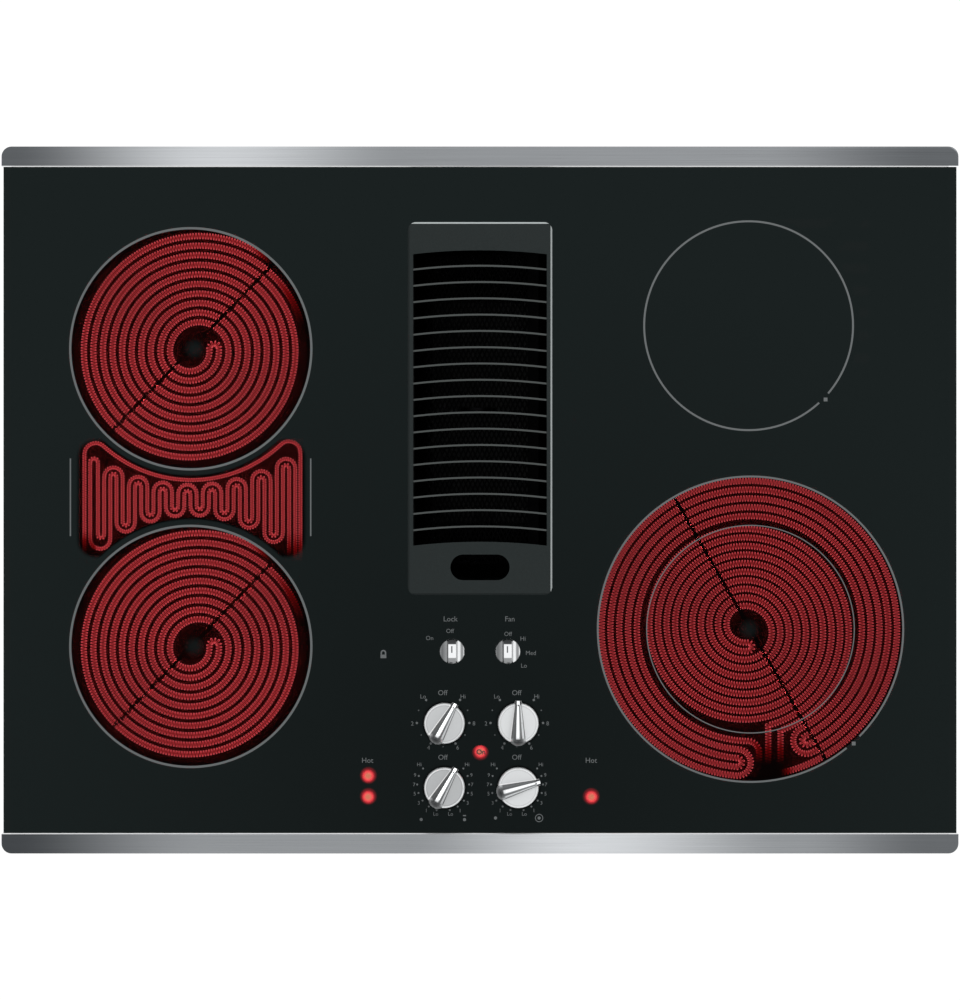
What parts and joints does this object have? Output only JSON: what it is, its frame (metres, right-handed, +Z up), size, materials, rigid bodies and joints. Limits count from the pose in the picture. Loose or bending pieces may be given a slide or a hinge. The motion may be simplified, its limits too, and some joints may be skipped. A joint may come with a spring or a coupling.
{
  "type": "electric downdraft cooktop",
  "caption": "Drop-in glass cooktop with ribbon elements under dark glass, push-to-turn knobs and a centre grille that draws fumes down through a filter and a blower.",
  "frame": {"origin": "plan centre of the top, on the worktop surface that the rim gasket rests on", "axes": "+X to the right and +Y to the back as a cook sees it, +Z up"},
  "size_m": [0.7588, 0.5606, 0.4221],
  "materials": {
    "glass_ceramic": "dark tinted, polished",
    "trim_steel": "long brushed, bright edges",
    "foam": "closed cell foam tape",
    "galvanised": "galvanised sheet",
    "fibre": "pressed ceramic fibre",
    "ribbon": "corrugated resistance ribbon, glowing",
    "cold_ribbon": "corrugated resistance ribbon, unlit",
    "steatite": "unglazed",
    "phenolic": "moulded phenolic",
    "nylon": "moulded nylon",
    "shaft_steel": "turned and plated",
    "satin_knob": "satin silver",
    "bright_knob": "bright plated",
    "red_lens": "lit red lens",
    "duct_steel": "dark enamel",
    "wheel_steel": "plain pressed",
    "motor_paint": "black paint",
    "block_plastic": "moulded",
    "cast_zinc": "die cast",
    "grille_paint": "dark grey satin powder coat",
    "filter_aluminium": "expanded mesh",
    "zinc_plate": "zinc plated"
  },
  "bodies": {
    "root": {"glass_top": "glass_ceramic", "front_trim": "trim_steel", "rear_trim": "trim_steel", "rim_gasket": "foam", "burner_box": "galvanised", "control_bracket": "galvanised", "left_rear_switch": "phenolic", "right_rear_switch": "phenolic", "left_front_switch": "phenolic", "right_front_switch": "phenolic", "lock_switch": "phenolic", "fan_switch": "phenolic", "indicator_lamps": "red_lens", "left_rear_dish": "galvanised", "left_front_dish": "galvanised", "right_rear_dish": "galvanised", "right_front_dish": "galvanised", "element_insulation": "fibre", "left_rear_ribbon": "ribbon", "left_front_ribbon": "ribbon", "bridge_ribbon": "ribbon", "right_rear_ribbon": "cold_ribbon", "right_front_inner_ribbon": "ribbon", "right_front_outer_ribbon": "ribbon", "element_limiters": "steatite", "left_element_rail": "galvanised", "right_element_rail": "galvanised", "plenum": "duct_steel", "throat_gasket": "foam", "blower_housing": "galvanised", "blower_motor": "motor_paint", "duct_transition": "galvanised", "duct_collar": "galvanised", "junction_box": "galvanised", "junction_cover": "galvanised", "terminal_block": "block_plastic", "conduit_connector": "cast_zinc", "clamp_brackets": "zinc_plate", "screws_and_nuts": "zinc_plate"},
    "left_rear_cup": {"left_rear_spring_cup": "nylon"},
    "left_rear_control": {"left_rear_shaft": "shaft_steel", "left_rear_knob": "satin_knob"},
    "right_rear_cup": {"right_rear_spring_cup": "nylon"},
    "right_rear_control": {"right_rear_shaft": "shaft_steel", "right_rear_knob": "satin_knob"},
    "left_front_cup": {"left_front_spring_cup": "nylon"},
    "left_front_control": {"left_front_shaft": "shaft_steel", "left_front_knob": "satin_knob"},
    "right_front_cup": {"right_front_spring_cup": "nylon"},
    "right_front_control": {"right_front_shaft": "shaft_steel", "right_front_knob": "satin_knob"},
    "lock_control": {"lock_shaft": "shaft_steel", "lock_knob": "bright_knob"},
    "fan_control": {"fan_shaft": "shaft_steel", "fan_knob": "bright_knob"},
    "grille": {"vent_grille": "grille_paint"},
    "filter": {"grease_filter": "filter_aluminium", "filter_mesh": "filter_aluminium"},
    "blower_rotor": {"blower_wheel": "wheel_steel", "motor_shaft": "shaft_steel"}
  },
  "joints": [
    {"name": "left_rear_push", "type": "slide", "parent": "root", "child": "left_rear_cup", "axis": [0, 0, -1], "range_m": [0, 0.0025], "stiffness_N_per_m": 500, "springref_m": -0.004},
    {"name": "left_rear_turn", "type": "hinge", "parent": "left_rear_cup", "child": "left_rear_control", "pos_m": [-0.0282, -0.177, 0.02], "axis": [0, 0, -1], "continuous": true},
    {"name": "right_rear_push", "type": "slide", "parent": "root", "child": "right_rear_cup", "axis": [0, 0, -1], "range_m": [0, 0.0025], "stiffness_N_per_m": 500, "springref_m": -0.004},
    {"name": "right_rear_turn", "type": "hinge", "parent": "right_rear_cup", "child": "right_rear_control", "pos_m": [0.0303, -0.177, 0.02], "axis": [0, 0, -1], "continuous": true},
    {"name": "left_front_push", "type": "slide", "parent": "root", "child": "left_front_cup", "axis": [0, 0, -1], "range_m": [0, 0.0025], "stiffness_N_per_m": 500, "springref_m": -0.004},
    {"name": "left_front_turn", "type": "hinge", "parent": "left_front_cup", "child": "left_front_control", "pos_m": [-0.0282, -0.228, 0.02], "axis": [0, 0, -1], "range_deg": [-195.4, 135.4]},
    {"name": "right_front_push", "type": "slide", "parent": "root", "child": "right_front_cup", "axis": [0, 0, -1], "range_m": [0, 0.0025], "stiffness_N_per_m": 500, "springref_m": -0.004},
    {"name": "right_front_turn", "type": "hinge", "parent": "right_front_cup", "child": "right_front_control", "pos_m": [0.0303, -0.228, 0.02], "axis": [0, 0, -1], "range_deg": [-239.9, 90.9]},
    {"name": "lock_turn", "type": "hinge", "parent": "root", "child": "lock_control", "pos_m": [-0.022, -0.12, 0.015], "axis": [0, 0, 1], "range_deg": [0, 60]},
    {"name": "fan_turn", "type": "hinge", "parent": "root", "child": "fan_control", "pos_m": [0.022, -0.12, 0.015], "axis": [0, 0, -1], "range_deg": [0, 131]},
    {"name": "grille_lift", "type": "slide", "parent": "root", "child": "grille", "axis": [0, 0, 1], "range_m": [0, 0.24]},
    {"name": "filter_lift", "type": "slide", "parent": "root", "child": "filter", "axis": [0, 0, 1], "range_m": [0, 0.12]},
    {"name": "blower_spin", "type": "hinge", "parent": "root", "child": "blower_rotor", "pos_m": [0.0964, 0.0725, -0.198], "axis": [1, 0, 0], "continuous": true}
  ],
  "couplings": [
    {"joint": "filter_lift", "follows": "grille_lift", "ratio": 0.5}
  ]
}
